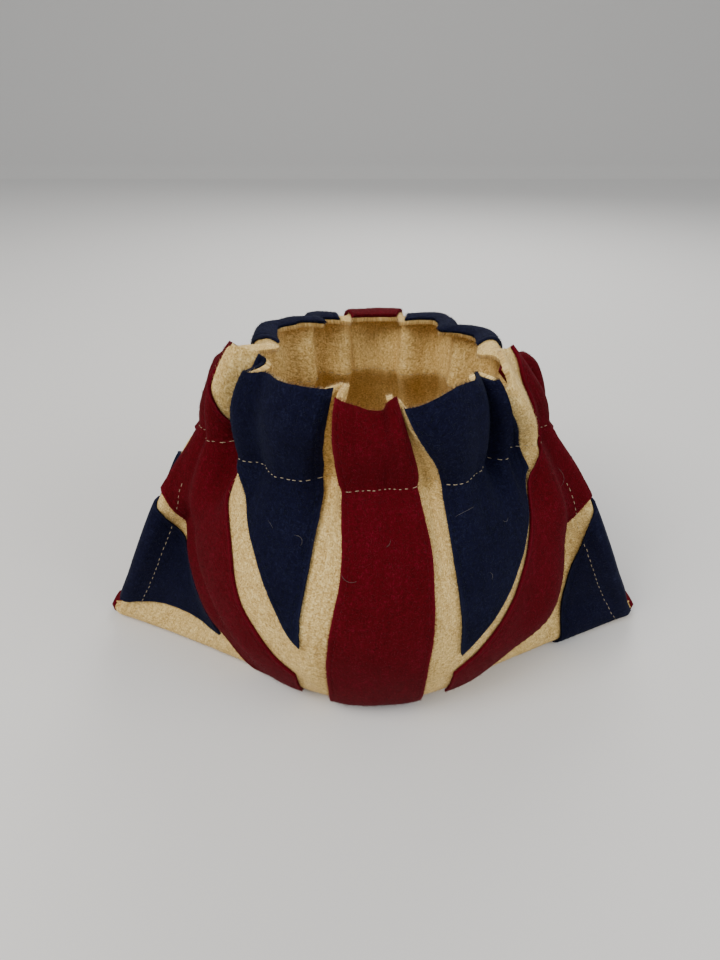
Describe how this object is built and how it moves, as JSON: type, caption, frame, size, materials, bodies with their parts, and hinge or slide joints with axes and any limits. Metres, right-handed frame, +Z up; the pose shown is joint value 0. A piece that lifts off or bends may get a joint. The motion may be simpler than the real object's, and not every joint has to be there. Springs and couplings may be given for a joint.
{
  "type": "tea cosy",
  "caption": "Wool felt tea cosy: a cloth slung under a round teapot, open at spout and handle, gathered at the neck, with felt flag patches.",
  "frame": {"origin": "on the table, under the middle of the cosy, on the cross bar's lower face", "axes": "+Z up, +X towards the handle opening, -X towards the spout opening, -Y towards the front"},
  "size_m": [0.2422, 0.1598, 0.1393],
  "materials": {
    "cream_felt": "thick cream wool felt with a camel fleck and a fuzzy surface, matt",
    "red_felt": "dark wine red wool felt with frayed cut edges, matt",
    "navy_felt": "very dark navy wool felt with frayed cut edges, matt"
  },
  "bodies": {
    "root": {"base_cloth": "cream_felt", "cross_bar": "red_felt", "upright_bar_front": "red_felt", "upright_bar_back": "red_felt", "diagonal_front_spout": "red_felt", "diagonal_front_handle": "red_felt", "diagonal_back_spout": "red_felt", "diagonal_back_handle": "red_felt", "inner_triangle_front_spout": "navy_felt", "inner_triangle_front_handle": "navy_felt", "inner_triangle_back_spout": "navy_felt", "inner_triangle_back_handle": "navy_felt", "outer_triangle_front_spout": "navy_felt", "outer_triangle_front_handle": "navy_felt", "outer_triangle_back_spout": "navy_felt", "outer_triangle_back_handle": "navy_felt"}
  },
  "joints": []
}
